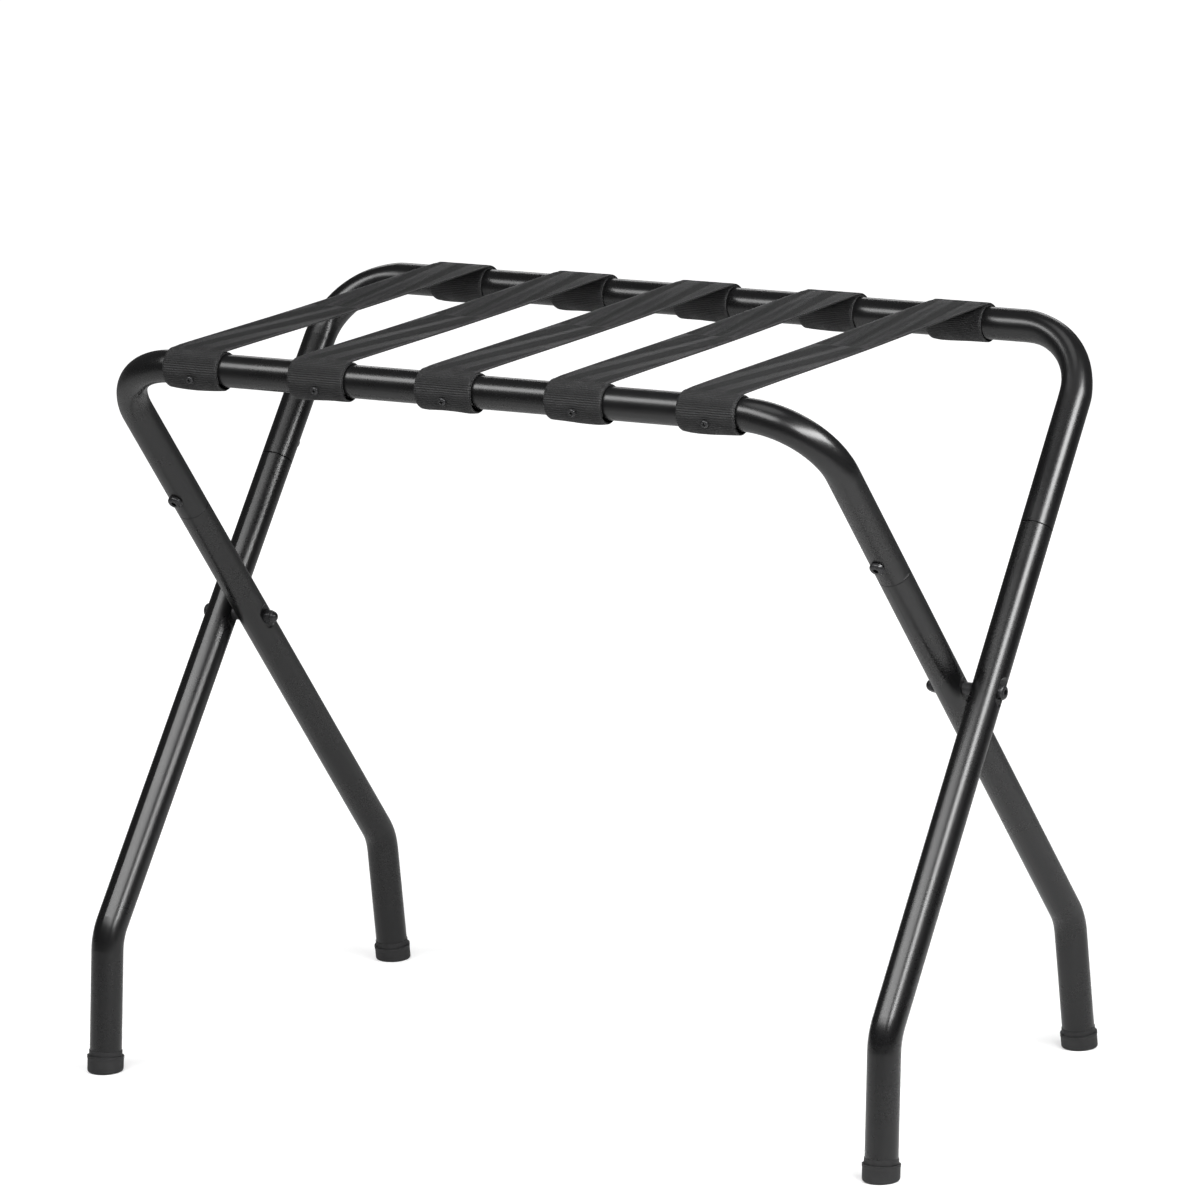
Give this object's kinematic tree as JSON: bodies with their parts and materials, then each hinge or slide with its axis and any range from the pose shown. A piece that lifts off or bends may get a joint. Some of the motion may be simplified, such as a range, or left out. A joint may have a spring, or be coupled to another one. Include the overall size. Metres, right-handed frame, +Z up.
{
  "type": "folding luggage rack",
  "caption": "Folding luggage rack: crossed U-shaped steel tube frames on pivot bolts, webbing straps from rail to rail, rubber foot caps.",
  "frame": {"origin": "on the floor, midway between the four feet, with the rack standing open", "axes": "+X to the right along the rails, +Y to the rear, +Z up"},
  "size_m": [0.7142, 0.4088, 0.5786],
  "materials": {
    "frame_coat": "satin black powder coat",
    "webbing": "black woven nylon webbing with fine cross ribs",
    "foot_rubber": "matte black moulded rubber",
    "black_hardware": "black zinc-plated steel fasteners",
    "spacer_plastic": "black nylon",
    "plated_steel": "zinc-plated steel"
  },
  "bodies": {
    "inner_frame": {"front_strap_screws": "black_hardware", "inner_left_foot_cap": "foot_rubber", "inner_left_lock_insert": "plated_steel", "inner_left_lock_screw": "black_hardware", "inner_left_lower_leg": "frame_coat", "inner_right_foot_cap": "foot_rubber", "inner_right_lock_insert": "plated_steel", "inner_right_lock_screw": "black_hardware", "inner_right_lower_leg": "frame_coat", "inner_upper_frame": "frame_coat", "left_pivot_bolt": "black_hardware", "left_pivot_nut": "black_hardware", "left_pivot_spacer": "spacer_plastic", "right_pivot_bolt": "black_hardware", "right_pivot_nut": "black_hardware", "right_pivot_spacer": "spacer_plastic", "strap_1_front_wrap": "webbing", "strap_2_front_wrap": "webbing", "strap_3_front_wrap": "webbing", "strap_4_front_wrap": "webbing", "strap_5_front_wrap": "webbing"},
    "outer_frame": {"outer_left_foot_cap": "foot_rubber", "outer_left_lock_insert": "plated_steel", "outer_left_lock_screw": "black_hardware", "outer_left_lower_leg": "frame_coat", "outer_right_foot_cap": "foot_rubber", "outer_right_lock_insert": "plated_steel", "outer_right_lock_screw": "black_hardware", "outer_right_lower_leg": "frame_coat", "outer_upper_frame": "frame_coat", "rear_strap_screws": "black_hardware", "strap_1_rear_wrap": "webbing", "strap_2_rear_wrap": "webbing", "strap_3_rear_wrap": "webbing", "strap_4_rear_wrap": "webbing", "strap_5_rear_wrap": "webbing"},
    "front_strap_roots": {"strap_1_front_root": "webbing", "strap_2_front_root": "webbing", "strap_3_front_root": "webbing", "strap_4_front_root": "webbing", "strap_5_front_root": "webbing"},
    "front_strap_spans": {"strap_1_front_span": "webbing", "strap_2_front_span": "webbing", "strap_3_front_span": "webbing", "strap_4_front_span": "webbing", "strap_5_front_span": "webbing"},
    "rear_strap_roots": {"strap_1_rear_root": "webbing", "strap_2_rear_root": "webbing", "strap_3_rear_root": "webbing", "strap_4_rear_root": "webbing", "strap_5_rear_root": "webbing"},
    "rear_strap_spans": {"strap_1_rear_span": "webbing", "strap_2_rear_span": "webbing", "strap_3_rear_span": "webbing", "strap_4_rear_span": "webbing", "strap_5_rear_span": "webbing"}
  },
  "joints": [
    {"name": "fold", "type": "hinge", "parent": "inner_frame", "child": "outer_frame", "pos_m": [0, 0, 0.32571], "axis": [1, 0, 0], "range_deg": [0, 70]},
    {"name": "front_webbing_unwrap", "type": "hinge", "parent": "inner_frame", "child": "front_strap_roots", "pos_m": [0, -0.1875, 0.563], "axis": [1, 0, 0], "range_deg": [-38.5, 0], "deforming": ["strap_1_front_root", "strap_2_front_root", "strap_3_front_root", "strap_4_front_root", "strap_5_front_root"]},
    {"name": "front_webbing_drape", "type": "hinge", "parent": "front_strap_roots", "child": "front_strap_spans", "pos_m": [0, 0.00238, 0.52747], "axis": [1, 0, 0], "range_deg": [0, 73.5], "deforming": ["strap_1_front_span", "strap_2_front_span", "strap_3_front_span", "strap_4_front_span", "strap_5_front_span"]},
    {"name": "rear_webbing_unwrap", "type": "hinge", "parent": "outer_frame", "child": "rear_strap_roots", "pos_m": [0, 0.1875, 0.563], "axis": [1, 0, 0], "range_deg": [0, 38.5], "deforming": ["strap_1_rear_root", "strap_2_rear_root", "strap_3_rear_root", "strap_4_rear_root", "strap_5_rear_root"]},
    {"name": "rear_webbing_drape", "type": "hinge", "parent": "rear_strap_roots", "child": "rear_strap_spans", "pos_m": [0, -0.00238, 0.52747], "axis": [1, 0, 0], "range_deg": [-73.5, 0], "deforming": ["strap_1_rear_span", "strap_2_rear_span", "strap_3_rear_span", "strap_4_rear_span", "strap_5_rear_span"]}
  ],
  "couplings": [
    {"joint": "front_webbing_unwrap", "follows": "fold", "ratio": -0.55},
    {"joint": "front_webbing_drape", "follows": "fold", "ratio": 1.05},
    {"joint": "rear_webbing_unwrap", "follows": "fold", "ratio": 0.55},
    {"joint": "rear_webbing_drape", "follows": "fold", "ratio": -1.05}
  ]
}
